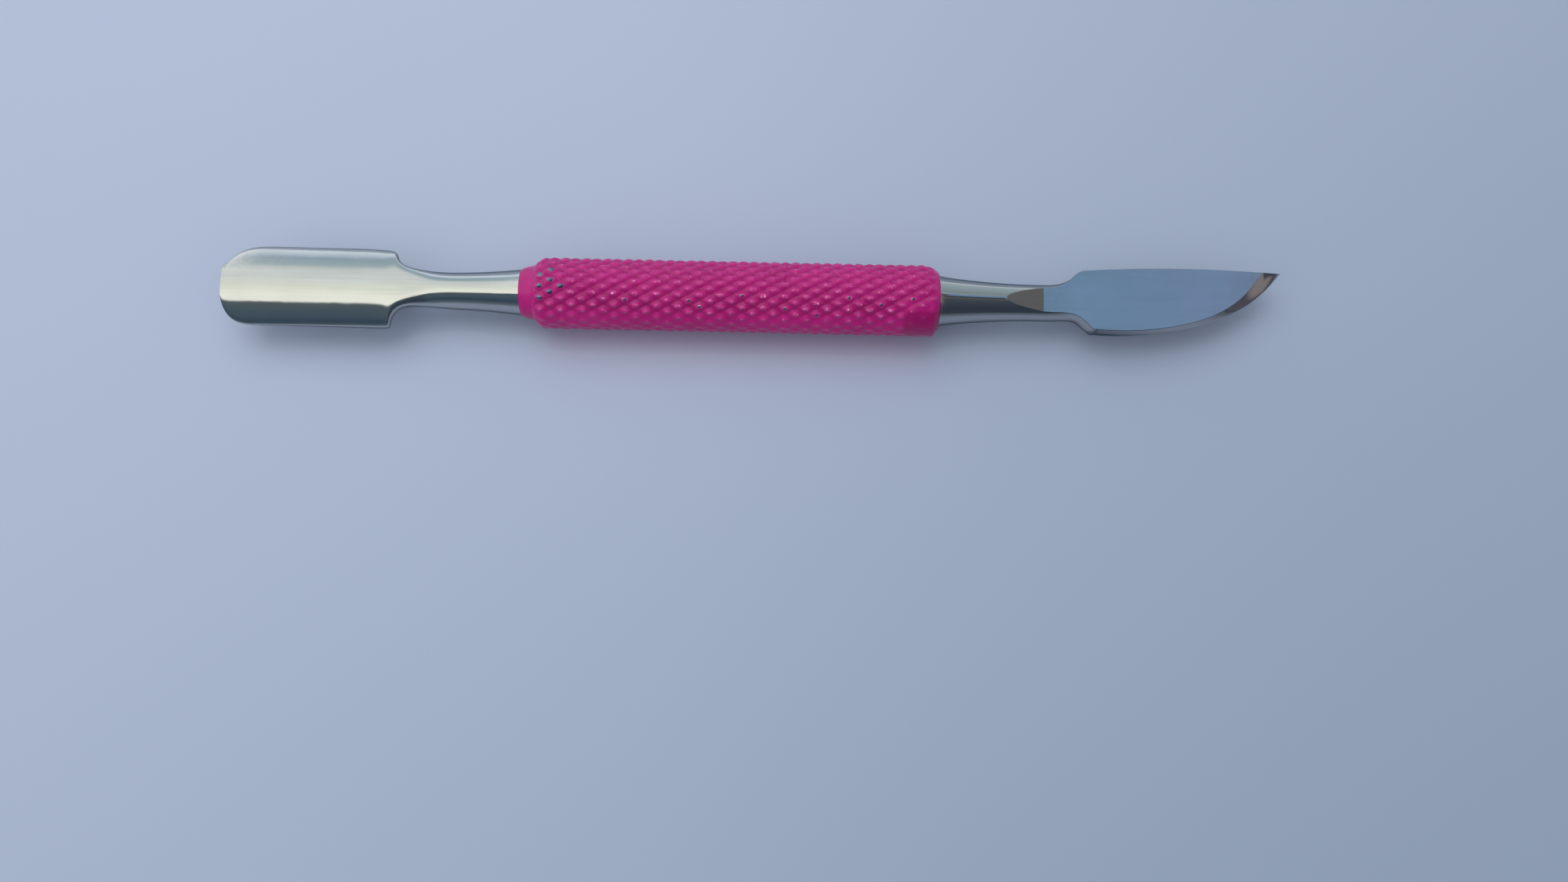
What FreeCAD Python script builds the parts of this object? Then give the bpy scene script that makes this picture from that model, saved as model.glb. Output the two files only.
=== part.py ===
import FreeCAD, Part
import math
import os

import PartDesign  # registers the PartDesign features
import Sketcher

# Double-ended cuticle tool. Millimetres. X runs along the tool, Z is up, and the pusher's rounded back is
# uppermost. The origin is on the tool's axis at the middle of the grip: the curved pusher is at -X and the
# knife-shaped blade at +X. Both forged ends have round tangs pressed into the sleeve of the grip, and a thin
# enamel coat covers the sleeve.

DIMENSIONS = {
    # grip: sleeve and coat
    "grip_half_length": 22.95,
    "grip_straight_half": 21.95,
    "grip_diameter": 8.25,
    "coat_thickness": 0.1,
    "coat_feather": 0.05,
    "sleeve_end_diameter": 6.6,
    "bore_diameter": 4.0,
    "bore_chamfer": 0.3,
    # tang, flared root and waisted neck, the same on both ends
    "tang_length": 11.0,
    "tang_chamfer": 0.5,
    "flare_end": 24.8,
    "flare_end_diameter": 5.26,
    "flare_radius": 6.5,
    "waist_start": 34.4,
    "waist_diameter": 4.18,
    # pusher: a shallow trough that thins towards the tip
    "pusher_tip": 58.5,
    "pusher_half_width": 4.63,
    "pusher_blend": 35.2,
    "pusher_root": 39.6,
    "neck_flank": 0.45,
    "pusher_crown": 2.6,
    "pusher_arch": 1.5,
    "root_thickness": 1.6,
    "tip_thickness": 0.45,
    "edge_share": 0.75,
    # pusher outline seen from above
    "shoulder_corner_at": 39.7,
    "shoulder_waist_at": 38.95,
    "shoulder_waist_half": 3.2,
    "shoulder_foot_at": 37.2,
    "shoulder_radius": 2.4,
    "back_corner_at": 54.8,
    "back_corner_half": 0.9,
    "back_corner_radius": 4.1,
    "front_corner_at": 56.5,
    "front_corner_half": 2.0,
    "front_corner_radius": 3.0,
    # blade: ground flat above and below, tapering to the tip
    "blade_tip": 62.4,
    "blade_tip_side": 3.95,
    "blade_neck_end": 40.2,
    "grind_start": 30.6,
    "grind_radius": 60.0,
    "flat_start": 34.9,
    "flat_start_half": 1.52,
    "flat_tip_half": 0.6,
    # blade outline seen from above
    "blade_foot_half": 1.4,
    "front_foot_at": 38.0,
    "front_foot_half": 1.65,
    "front_shoulder_at": 40.8,
    "front_shoulder_half": 3.38,
    "front_shoulder_radius": 4.0,
    "edge_turn_at": 52.65,
    "edge_turn_half": 2.5,
    "edge_root_radius": 33.25,
    "edge_tip_radius": 17.95,
    "back_foot_at": 37.2,
    "back_foot_half": 1.95,
    "back_shoulder_at": 39.3,
    "back_shoulder_half": 3.6,
    "back_shoulder_radius": 2.9,
    "back_radius": 154.0,
    "bevel_width": 0.6,
    "bevel_depth": 0.22,
    # room around the metal for the cutting outlines
    "cut_room": 3.0,
}


def make_sheet(doc):
    """Put every driving dimension in the sheet, one alias a row."""
    sheet = doc.addObject("Spreadsheet::Sheet", "Dims")
    for row, (alias, value) in enumerate(DIMENSIONS.items(), start=1):
        sheet.set(f"A{row}", alias)
        sheet.set(f"B{row}", str(value))
        sheet.setAlias(f"B{row}", alias)
    doc.recompute()
    return sheet


def new_body(doc, name):
    body = doc.addObject("PartDesign::Body", name)
    body.Label = name
    return body


def new_sketch(body, name, role, station=None):
    """A sketch on one of the body's origin planes, moved along its normal to a station if one is given."""
    sketch = body.newObject("Sketcher::SketchObject", name)
    plane = next(f for f in body.Origin.OriginFeatures if f.Role == role)
    sketch.AttachmentSupport = [(plane, "")]
    sketch.MapMode = "FlatFace"
    if station:
        sketch.setExpression("AttachmentOffset.Base.z", station)
    return sketch


def number(owner, expression):
    """What an expression over the sheet comes to."""
    value = owner.evalExpression(expression)
    return float(getattr(value, "Value", value))


def arc_between(start, end, radius, side):
    """The minor arc from start to end, bulging to the left (side 1) or the right (side -1) of that way."""
    chord = end - start
    rise = radius - math.sqrt(radius**2 - (chord.Length / 2) ** 2)
    left = FreeCAD.Vector(-chord.y, chord.x, 0).normalize()
    return Part.Arc(start, (start + end) * 0.5 + left * (side * rise), end)


def end_at(sketch, edge, point):
    """Which end of a line or arc lies at the point: 1 or 2."""
    gaps = [(sketch.getPoint(edge, end) - point).Length for end in (1, 2)]
    return 1 if gaps[0] < gaps[1] else 2


def bind(sketch, constraint, expression):
    index = sketch.addConstraint(constraint)
    sketch.setExpression(f"Constraints[{index}]", expression)


def closed_profile(sketch, corners, arcs=None):
    """Draw one closed outline, every size bound to the sheet.

    corners are pairs of expressions. Edge i runs from corner i to the next one. arcs maps an edge to its radius
    expression and side, and the other edges are straight.
    """
    arcs = arcs or {}
    points = [FreeCAD.Vector(number(sketch, x), number(sketch, y), 0) for x, y in corners]
    edges = []
    for i, start in enumerate(points):
        end = points[(i + 1) % len(points)]
        if i in arcs:
            radius, side = arcs[i]
            edge = arc_between(start, end, number(sketch, radius), side)
        else:
            edge = Part.LineSegment(start, end)
        edges.append(sketch.addGeometry(edge, False))
    for i, point in enumerate(points):
        before, after = edges[i - 1], edges[i]
        end = end_at(sketch, after, point)
        meeting = end_at(sketch, before, point)
        sketch.addConstraint(Sketcher.Constraint("Coincident", before, meeting, after, end))
        bind(sketch, Sketcher.Constraint("DistanceX", -1, 1, after, end, point.x), corners[i][0])
        bind(sketch, Sketcher.Constraint("DistanceY", -1, 1, after, end, point.y), corners[i][1])
    for i, (radius, _) in arcs.items():
        bind(sketch, Sketcher.Constraint("Radius", edges[i], number(sketch, radius)), radius)


def turned(body, name, corners, arcs=None):
    """A solid turned about X from a profile of (X, radius) corners."""
    sketch = new_sketch(body, f"{name}_profile", "XZ_Plane")
    closed_profile(sketch, corners, arcs)
    feature = body.newObject("PartDesign::Revolution", name)
    feature.Profile = sketch
    feature.ReferenceAxis = (sketch, ["H_Axis"])
    feature.Angle = 360.0
    return feature


def cut_through(body, name, role, corners, arcs=None):
    """Cut an outline right through the body, both ways from one of its origin planes."""
    sketch = new_sketch(body, f"{name}_profile", role)
    closed_profile(sketch, corners, arcs)
    before = body.Shape.Volume
    feature = body.newObject("PartDesign::Pocket", name)
    feature.Profile = sketch
    feature.Type = "ThroughAll"
    feature.Midplane = True
    body.Document.recompute()
    assert body.Shape.Volume < before, f"{name} takes nothing away"
    return feature


def on_side(expression, sign):
    """An expression as it stands for the +X or +Y side, or negated for the other one."""
    return expression if sign > 0 else f"-({expression})"


GRIP_END = "Dims.grip_half_length"
STRAIGHT_END = "Dims.grip_straight_half"
BORE = "Dims.bore_diameter / 2"
SLEEVE = "Dims.grip_diameter / 2 - Dims.coat_thickness"
SLEEVE_END = "Dims.sleeve_end_diameter / 2"
WAIST = "Dims.waist_diameter / 2"
FLARE_END = "Dims.flare_end_diameter / 2"


def make_handle_sleeve(doc):
    """Bored steel sleeve with chamfered ends, at the height of its knurl's crests."""
    body = new_body(doc, "handle_sleeve")
    corners = [
        (f"-{GRIP_END}", f"{BORE} + Dims.bore_chamfer"),
        (f"-{GRIP_END}", SLEEVE_END),
        (f"-{STRAIGHT_END}", SLEEVE),
        (STRAIGHT_END, SLEEVE),
        (GRIP_END, SLEEVE_END),
        (GRIP_END, f"{BORE} + Dims.bore_chamfer"),
        (f"{GRIP_END} - Dims.bore_chamfer", BORE),
        (f"-{GRIP_END} + Dims.bore_chamfer", BORE),
    ]
    turned(body, "sleeve", corners)


def make_grip_coating(doc):
    """Enamel coat on the sleeve, running on over the flared root of the pusher and feathering out there."""
    body = new_body(doc, "grip_coating")
    corners = [
        ("-Dims.flare_end", FLARE_END),
        ("-Dims.flare_end", f"{FLARE_END} + Dims.coat_feather"),
        (f"-{GRIP_END}", f"{SLEEVE_END} + Dims.coat_thickness"),
        (f"-{STRAIGHT_END}", "Dims.grip_diameter / 2"),
        (STRAIGHT_END, "Dims.grip_diameter / 2"),
        (GRIP_END, f"{SLEEVE_END} + Dims.coat_thickness"),
        (GRIP_END, SLEEVE_END),
        (STRAIGHT_END, SLEEVE),
        (f"-{STRAIGHT_END}", SLEEVE),
        (f"-{GRIP_END}", SLEEVE_END),
    ]
    turned(body, "coat", corners, {1: ("Dims.flare_radius", -1), 9: ("Dims.flare_radius", 1)})


def neck_and_tang(body, sign, neck_end):
    """Tang, flared root and waisted neck on the -X or +X side, with a smooth run into the straight neck."""
    tang_end = f"{GRIP_END} - Dims.tang_length"
    run = "(Dims.waist_start - Dims.flare_end)"
    fall = "(Dims.flare_end_diameter / 2 - Dims.waist_diameter / 2)"
    waist_arc = f"({run} ^ 2 + {fall} ^ 2) / (2 * {fall})"
    stations = [
        (tang_end, "0"),
        (tang_end, f"{BORE} - Dims.tang_chamfer"),
        (f"{tang_end} + Dims.tang_chamfer", BORE),
        (GRIP_END, BORE),
        (GRIP_END, SLEEVE_END),
        ("Dims.flare_end", FLARE_END),
        ("Dims.waist_start", WAIST),
        (neck_end, WAIST),
        (neck_end, "0"),
    ]
    corners = [(on_side(along, sign), radius) for along, radius in stations]
    turned(body, "neck", corners, {4: ("Dims.flare_radius", -sign), 5: (waist_arc, -sign)})


def trough_section(body, name, station, thickness):
    """Section of the pusher across X: an arched back over a flatter hollow, thinner towards its edges."""
    edge = f"Dims.{thickness} * Dims.edge_share"
    hollow = f"(Dims.pusher_arch - Dims.{thickness} + {edge})"
    half = "Dims.pusher_half_width"
    side = "Dims.pusher_crown - Dims.pusher_arch"
    corners = [
        (f"-{half}", side),
        (half, side),
        (half, f"{side} - {edge}"),
        (f"-{half}", f"{side} - {edge}"),
    ]
    arcs = {
        0: (f"({half} ^ 2 + Dims.pusher_arch ^ 2) / (2 * Dims.pusher_arch)", 1),
        2: (f"({half} ^ 2 + {hollow} ^ 2) / (2 * {hollow})", -1),
    }
    sketch = new_sketch(body, name, "YZ_Plane", station)
    closed_profile(sketch, corners, arcs)
    return sketch


def neck_section(body, name, station):
    """Section of the round neck where the pusher starts, with four edges like the trough's."""
    half = f"sqrt(({WAIST}) ^ 2 - Dims.neck_flank ^ 2)"
    corners = [
        (f"-{half}", "Dims.neck_flank"),
        (half, "Dims.neck_flank"),
        (half, "-Dims.neck_flank"),
        (f"-{half}", "-Dims.neck_flank"),
    ]
    sketch = new_sketch(body, name, "YZ_Plane", station)
    closed_profile(sketch, corners, {0: (WAIST, 1), 2: (WAIST, 1)})
    return sketch


def round_tip_corner(body, name, sign, at, half, radius):
    """Trim one corner of the pusher's tip to an arc seen from above."""
    tip = "-Dims.pusher_tip"
    outside = on_side("Dims.pusher_half_width + Dims.cut_room", sign)
    corners = [
        (tip, on_side(f"Dims.{half}", sign)),
        (f"-Dims.{at}", on_side("Dims.pusher_half_width", sign)),
        (f"-Dims.{at}", outside),
        (f"{tip} - Dims.cut_room", outside),
        (f"{tip} - Dims.cut_room", on_side(f"Dims.{half}", sign)),
    ]
    cut_through(body, name, "XY_Plane", corners, {0: (f"Dims.{radius}", sign)})


def cut_shoulder(body, name, sign):
    """Cut one shoulder between the pusher and its neck, hollow towards the neck."""
    neck_side = on_side(WAIST, sign)
    outside = on_side("Dims.pusher_half_width + Dims.cut_room", sign)
    corners = [
        ("-Dims.shoulder_corner_at", on_side("Dims.pusher_half_width", sign)),
        ("-Dims.shoulder_waist_at", on_side("Dims.shoulder_waist_half", sign)),
        ("-Dims.shoulder_foot_at", neck_side),
        ("-Dims.pusher_blend", neck_side),
        ("-Dims.pusher_blend", outside),
        ("-Dims.shoulder_corner_at", outside),
    ]
    cut_through(body, name, "XY_Plane", corners, {1: ("Dims.shoulder_radius", -sign)})


def make_pusher_end(doc):
    """Curved pusher forged in one with its neck and tang."""
    body = new_body(doc, "pusher_end")
    neck_and_tang(body, -1, "Dims.pusher_blend")
    blend = neck_section(body, "blend_section", "-Dims.pusher_blend")
    root = trough_section(body, "root_section", "-Dims.pusher_root", "root_thickness")
    tip = trough_section(body, "tip_section", "-Dims.pusher_tip", "tip_thickness")
    spoon = body.newObject("PartDesign::AdditiveLoft", "spoon")
    spoon.Profile = blend
    spoon.Sections = [root, tip]
    spoon.Ruled = True
    doc.recompute()
    cut_shoulder(body, "back_shoulder", 1)
    cut_shoulder(body, "front_shoulder", -1)
    back = ("back_corner_at", "back_corner_half", "back_corner_radius")
    front = ("front_corner_at", "front_corner_half", "front_corner_radius")
    round_tip_corner(body, "back_tip_corner", 1, *back)
    round_tip_corner(body, "front_tip_corner", -1, *front)


def grind_flat(body, name, sign):
    """Grind the top or the underside: a wheel's run-out in the neck, then one tapering flat to the tip."""
    clear = on_side("Dims.cut_room", sign)
    corners = [
        ("Dims.grind_start", on_side(WAIST, sign)),
        ("Dims.flat_start", on_side("Dims.flat_start_half", sign)),
        ("Dims.blade_tip", on_side("Dims.flat_tip_half", sign)),
        ("Dims.blade_tip + Dims.cut_room", on_side("Dims.flat_tip_half", sign)),
        ("Dims.blade_tip + Dims.cut_room", clear),
        ("Dims.grind_start", clear),
    ]
    return cut_through(body, name, "XZ_Plane", corners, {0: ("Dims.grind_radius", -sign)})


def curved_edge_names(shape):
    """The long curved edges of the blade's cutting side, above and below."""
    names = []
    for i, edge in enumerate(shape.Edges, start=1):
        middle = edge.valueAt((edge.FirstParameter + edge.LastParameter) / 2)
        cutting_side = middle.x > DIMENSIONS["front_shoulder_at"] and middle.y < DIMENSIONS["blade_foot_half"]
        if cutting_side and edge.Length > 3 and abs(middle.z) > 0.1 and edge.BoundBox.YLength > 0.5:
            names.append(f"Edge{i}")
    return names


def make_blade_end(doc):
    """Knife-shaped blade forged in one with its neck and tang."""
    body = new_body(doc, "blade_end")
    neck_and_tang(body, 1, "Dims.blade_neck_end")
    outline = [
        ("Dims.flat_start", "-Dims.blade_foot_half"),
        ("Dims.front_foot_at", "-Dims.front_foot_half"),
        ("Dims.front_shoulder_at", "-Dims.front_shoulder_half"),
        ("Dims.edge_turn_at", "-Dims.edge_turn_half"),
        ("Dims.blade_tip", "Dims.blade_tip_side"),
        ("Dims.back_shoulder_at", "Dims.back_shoulder_half"),
        ("Dims.back_foot_at", "Dims.back_foot_half"),
        ("Dims.flat_start", "Dims.blade_foot_half"),
    ]
    arcs = {
        1: ("Dims.front_shoulder_radius", 1),
        2: ("Dims.edge_root_radius", -1),
        3: ("Dims.edge_tip_radius", -1),
        4: ("Dims.back_radius", -1),
        5: ("Dims.back_shoulder_radius", 1),
    }
    sketch = new_sketch(body, "blade_outline", "XY_Plane")
    closed_profile(sketch, outline, arcs)
    blade = body.newObject("PartDesign::Pad", "blade")
    blade.Profile = sketch
    blade.setExpression("Length", "2 * Dims.flat_start_half")
    blade.Midplane = True
    doc.recompute()
    grind_flat(body, "upper_flat", 1)
    ground = grind_flat(body, "lower_flat", -1)
    bevel = body.newObject("PartDesign::Chamfer", "edge_bevel")
    bevel.Base = (ground, curved_edge_names(ground.Shape))
    bevel.ChamferType = "Two distances"
    bevel.setExpression("Size", "Dims.bevel_width")
    bevel.setExpression("Size2", "Dims.bevel_depth")


def check_and_write(doc):
    """Check every object, then write each body to its own STEP file."""
    doc.recompute()
    for item in doc.Objects:
        faults = {"Invalid", "Error"} & set(item.State)
        assert not faults, f"{item.Name}: {faults}"
    os.makedirs("parts", exist_ok=True)
    for body in doc.findObjects("PartDesign::Body"):
        shape = body.Shape
        assert not shape.isNull() and shape.isValid(), f"{body.Label} has no sound shape"
        assert len(shape.Solids) == 1, f"{body.Label} is {len(shape.Solids)} solids"
        shape.exportStep(f"parts/{body.Label}.step")


document = FreeCAD.newDocument("cuticle_pusher")
make_sheet(document)
make_handle_sleeve(document)
make_grip_coating(document)
make_pusher_end(document)
make_blade_end(document)
check_and_write(document)
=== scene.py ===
"""Double-ended cuticle tool: mirror-polished pusher and blade, and a knurled grip under worn magenta enamel.

Shapes are worked out in millimetres in the CAD frame, X along the tool and Z up, and put into Blender in metres.
Distances called "out" are from the middle of the grip towards either tip.
"""

import math

import bpy
import numpy as np
from mathutils import Matrix, Vector


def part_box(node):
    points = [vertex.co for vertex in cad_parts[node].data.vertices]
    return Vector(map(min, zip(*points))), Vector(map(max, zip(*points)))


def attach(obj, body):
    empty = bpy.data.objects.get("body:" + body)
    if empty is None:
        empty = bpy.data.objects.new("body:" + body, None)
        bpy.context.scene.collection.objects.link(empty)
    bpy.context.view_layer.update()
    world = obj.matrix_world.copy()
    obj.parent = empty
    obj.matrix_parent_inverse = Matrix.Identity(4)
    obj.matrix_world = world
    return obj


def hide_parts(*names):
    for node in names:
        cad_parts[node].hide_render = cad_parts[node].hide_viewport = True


MM = 0.001

# Sizes shared with the CAD model, in millimetres.
GRIP_END = 22.95
GRIP_RADIUS = 4.125
COAT_EDGE = 24.8
TANG_END = 11.95
TANG_RADIUS = 2.0
TANG_CHAMFER = 0.5
FLARE_RADIUS = 2.63
WAIST_START = 34.4
WAIST_RADIUS = 2.09


# --- shared shapes --------------------------------------------------------------------------------------------------


def smooth(x, low, high):
    """0 below low, 1 above high and an S-curve between."""
    t = np.clip((np.asarray(x, float) - low) / (high - low), 0.0, 1.0)
    return t * t * (3.0 - 2.0 * t)


def facing(angle, degrees):
    """Cosine of the way round from a direction, given in degrees from the top towards +Y."""
    return np.cos(angle - math.radians(degrees))


def curve_through(points, x):
    """A curve through the points that never overshoots them (monotone cubic)."""
    px, py = np.array(points, float).T
    step = np.diff(px)
    slope = np.diff(py) / step
    inner = np.where(
        slope[:-1] * slope[1:] > 0,
        2 * slope[:-1] * slope[1:] / (slope[:-1] + slope[1:] + 1e-12),
        0.0,
    )
    tangent = np.concatenate([[slope[0]], inner, [slope[-1]]])
    x = np.clip(np.asarray(x, float), px[0], px[-1])
    i = np.clip(np.searchsorted(px, x, side="right") - 1, 0, len(step) - 1)
    t = (x - px[i]) / step[i]
    return (
        py[i] * (1 + 2 * t) * (1 - t) ** 2
        + tangent[i] * step[i] * t * (1 - t) ** 2
        + py[i + 1] * t**2 * (3 - 2 * t)
        + tangent[i + 1] * step[i] * t**2 * (t - 1)
    )


def grid_object(name, points, crease_degrees=None):
    """A closed skin over an array of rings, points[ring][point] in mm, with both end rings filled."""
    rings, around, _ = points.shape
    index = np.arange(rings * around).reshape(rings, around)
    after = np.roll(index, -1, axis=1)
    quads = np.stack([index[:-1], index[1:], after[1:], after[:-1]], axis=-1).reshape(-1, 4)
    faces = quads.tolist() + [index[0].tolist(), index[-1][::-1].tolist()]
    mesh = bpy.data.meshes.new(name)
    mesh.from_pydata((points.reshape(-1, 3) * MM).tolist(), [], faces)
    mesh.validate()
    mesh.shade_smooth()
    if crease_degrees:
        mesh.set_sharp_from_angle(angle=math.radians(crease_degrees))
    thing = bpy.data.objects.new(name, mesh)
    bpy.context.collection.objects.link(thing)
    return thing


def neck_radius(out, fillet):
    """Radius of the turned part of either end; fillet is how much its root grows under the edge of the grip."""
    to_flare = (WAIST_START - out) / (WAIST_START - COAT_EDGE)
    sweep = WAIST_RADIUS + (FLARE_RADIUS - WAIST_RADIUS) * to_flare**2
    root = sweep + fillet * np.maximum((COAT_EDGE - out) / (COAT_EDGE - GRIP_END), 0) ** 3
    radius = np.where(out < COAT_EDGE, root, np.where(out < WAIST_START, sweep, WAIST_RADIUS))
    tang = TANG_RADIUS - np.clip(TANG_END + TANG_CHAMFER - out, 0, TANG_CHAMFER)
    return np.where(out < GRIP_END, tang, radius)


def stations(*stretches):
    """Where the rings stand, from (start, end, count) stretches in order."""
    return np.unique(np.concatenate([np.linspace(start, end, count) for start, end, count in stretches]))


TANG_STATIONS = [
    (TANG_END, TANG_END + TANG_CHAMFER, 3),
    (TANG_END + TANG_CHAMFER, GRIP_END - 1e-3, 4),
    (GRIP_END, COAT_EDGE, 16),
]


# --- pusher ---------------------------------------------------------------------------------------------------------

PUSHER_TIP = 58.5
PUSHER_HALF_WIDTH = 4.63
PUSHER_FILLET = 0.17

# The neck spreads into the trough between these two, where the wall is thinned to its half thickness.
SPREAD_START = 32.0
SPREAD_END = 40.4
WALL_HALF = 0.66
WALL_HALF_AT_TIP = 0.23

# The rounded back rises to its crown, and the section arches down at both sides.
CROWN = 2.60
CROWN_STRETCH = (33.5, 44.0)
ARCH = 1.6
ARCH_STRETCH = (35.0, 41.0)

# The section is a superellipse: its power goes from a circle's to a squarer one with tight rims.
ROUND_POWER = 2.0
TROUGH_POWER = 5.0
POWER_STRETCH = (34.0, SPREAD_END)
POWER_EASE = 1.5

# Points across the top of each ring, crowded towards the two rims by a power.
PUSHER_ACROSS = 61
RIM_CROWDING = 1.9

# Half widths of the pusher seen from above, by distance out: the +Y side and the -Y side.
PUSHER_BACK = [
    (35.2, 2.09), (36.3, 2.15), (37.2, 2.27), (37.8, 2.43), (38.3, 2.67), (38.7, 3.00), (39.0, 3.43),
    (39.22, 3.88), (39.45, 4.22), (39.9, 4.43), (40.9, 4.56), (43.0, 4.63), (53.0, 4.63), (54.5, 4.59),
    (55.5, 4.43), (56.3, 4.12), (57.0, 3.63), (57.5, 3.09), (57.9, 2.48), (58.15, 1.93), (58.32, 1.38),
    (58.43, 0.83), (58.5, 0.10),
]
PUSHER_FRONT = [
    (35.2, 2.09), (36.3, 2.11), (37.2, 2.18), (37.8, 2.29), (38.35, 2.49), (38.85, 2.85), (39.25, 3.38),
    (39.5, 3.92), (39.65, 4.32), (39.8, 4.54), (40.15, 4.61), (42.2, 4.63), (55.4, 4.63), (56.5, 4.50),
    (57.1, 4.32), (57.5, 4.08), (57.8, 3.78), (58.05, 3.42), (58.25, 3.02), (58.4, 2.55), (58.48, 2.05),
    (58.5, 1.60),
]


def pusher_points():
    """Rings of the pusher end: a round neck that spreads into an arched trough, thin at the tip."""
    out = stations(
        *TANG_STATIONS, (COAT_EDGE, SPREAD_START, 26), (SPREAD_START, 38.5, 72), (38.5, SPREAD_END, 52),
        (SPREAD_END, 53.8, 56), (53.8, 57.4, 36), (57.4, PUSHER_TIP, 34),
    )
    spread = smooth(out, SPREAD_START, SPREAD_END)
    to_tip = (out - SPREAD_END) / (PUSHER_TIP - SPREAD_END)
    thick = np.where(
        out < SPREAD_END,
        WAIST_RADIUS + (WALL_HALF - WAIST_RADIUS) * spread,
        WALL_HALF - (WALL_HALF - WALL_HALF_AT_TIP) * to_tip,
    )
    crown = WAIST_RADIUS + (CROWN - WAIST_RADIUS) * smooth(out, *CROWN_STRETCH)
    arch = ARCH * smooth(out, *ARCH_STRETCH)
    power = ROUND_POWER + (TROUGH_POWER - ROUND_POWER) * smooth(out, *POWER_STRETCH) ** POWER_EASE
    back = curve_through(PUSHER_BACK, out)
    front = curve_through(PUSHER_FRONT, out)

    across = np.linspace(-1.0, 1.0, PUSHER_ACROSS)
    across = np.sign(across) * (1 - (1 - np.abs(across)) ** RIM_CROWDING)
    rings = []
    for i, x in enumerate(out):
        radius = float(neck_radius(x, PUSHER_FILLET))
        if x < SPREAD_START:
            half_back = half_front = half_thick = radius
            middle, lift, p = 0.0, 0.0, ROUND_POWER
        else:
            half_back, half_front = max(radius, float(back[i])), max(radius, float(front[i]))
            half_thick = thick[i] * radius / WAIST_RADIUS
            middle, lift, p = crown[i] - thick[i], arch[i], power[i]
        y = np.where(across > 0, across * half_back, across * half_front)
        body = half_thick * (1 - np.abs(across) ** p) ** (1 / p)
        centre = middle - lift * (y / PUSHER_HALF_WIDTH) ** 2
        top = np.stack([np.full_like(y, -x), y, centre + body], axis=1)
        bottom = np.stack([np.full_like(y, -x), y, centre - body], axis=1)[::-1][1:-1]
        rings.append(np.concatenate([top, bottom]))
    return np.array(rings)[::-1]


# --- blade ----------------------------------------------------------------------------------------------------------

BLADE_TIP = 62.4
BLADE_FILLET = 0.07

# Two flats are ground on the neck, steep from GRIND_START to FLAT_START and then thinning slowly to the tip. Rings
# keep their round top until just past the first.
GRIND_START = 30.6
ROUND_UNTIL = GRIND_START + 0.02
FLAT_START = 34.9
FLAT_HALF = 1.52
FLAT_TIP_HALF = 0.6
NARROWEST_FLAT = 0.1
NECK_BLEND_END = 38.3

# The back: it leaves its shoulder, then bows outwards on the way to the tip.
BACK_SHOULDER_END = 39.5
BACK_AT_SHOULDER = 3.66
BACK_RISE = 0.30
BACK_BOW = 1.70
BACK_EDGE = 0.06

# The cutting edge is two arcs, each one (X and Y of its centre, radius), that meet at EDGE_TURN.
SHOULDER_END = 40.9
EDGE_TURN = 52.65
ROOT_ARC = (44.36, 29.70, 33.25)
TIP_ARC = (48.174, 14.883, 17.95)
NARROWEST_TOP = 0.012

# The edges of the flats are broken by this much, less where the blade is narrow. The walls' powers say how squarely
# they stand between the two flats.
EDGE_BREAK = 0.05
LEAST_BREAK = 0.002
BREAK_DROP = 0.8
BACK_WALL_POWER = 3
SHOULDER_WALL_POWER = 2
BEVEL_POWER = 1.25

# Points of each ring across one flat, and down one side wall.
FLAT_POINTS = 25
SIDE_POINTS = 33

# Outline of the blade seen from above, by distance out. At each shoulder the flat's own edge starts inside the
# outline of the neck below it.
BACK_OUTLINE = [
    (34.9, 2.09), (36.2, 2.17), (37.1, 2.32), (37.7, 2.50), (38.2, 2.78), (38.6, 3.16), (39.1, 3.54), (39.5, 3.66),
]
BACK_OF_FLAT = [
    (34.9, 1.43), (36.2, 1.70), (37.1, 2.00), (37.7, 2.26), (38.2, 2.58), (38.6, 3.00), (39.1, 3.44), (39.5, 3.60),
]
FRONT_OUTLINE = [
    (34.9, 2.09), (37.1, 2.0), (38.2, 2.02), (38.8, 2.18), (39.2, 2.50), (39.7, 2.95), (40.1, 3.22), (40.5, 3.36),
    (40.9, 3.42),
]
FRONT_OF_FLAT = [
    (34.9, 1.43), (36.4, 1.42), (38.1, 1.56), (38.9, 1.83), (39.7, 2.42), (40.2, 2.92), (40.55, 3.25), (40.9, 3.34),
]
BEVEL_WIDTH = [
    (40.9, 0.08), (45.8, 0.22), (50.0, 0.38), (53.0, 0.52), (55.8, 0.80), (57.8, 1.22), (58.8, 1.62), (59.8, 2.1),
    (60.7, 2.4), (62.4, 2.5),
]


def cutting_edge(x):
    """The curved cutting edge, two arcs that run smoothly into each other, as Y."""
    def arc(centre_x, centre_y, radius, at):
        return centre_y - np.sqrt(radius**2 - (at - centre_x) ** 2)

    return np.where(
        x <= EDGE_TURN,
        arc(*ROOT_ARC, at=np.minimum(x, EDGE_TURN)),
        arc(*TIP_ARC, at=np.maximum(x, EDGE_TURN)),
    )


def flat_height(x, radius):
    """Height of the ground flats above the middle of the blade; before them, nearly the neck's radius."""
    below_top = math.sqrt(radius**2 - NARROWEST_FLAT**2)
    if x < GRIND_START:
        return below_top
    if x < FLAT_START:
        t = (x - GRIND_START) / (FLAT_START - GRIND_START)
        start = float(neck_radius(GRIND_START, BLADE_FILLET))
        return min(start - (start - FLAT_HALF) * t, below_top)
    t = (x - FLAT_START) / (BLADE_TIP - FLAT_START)
    return FLAT_HALF + (FLAT_TIP_HALF - FLAT_HALF) * t


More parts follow.
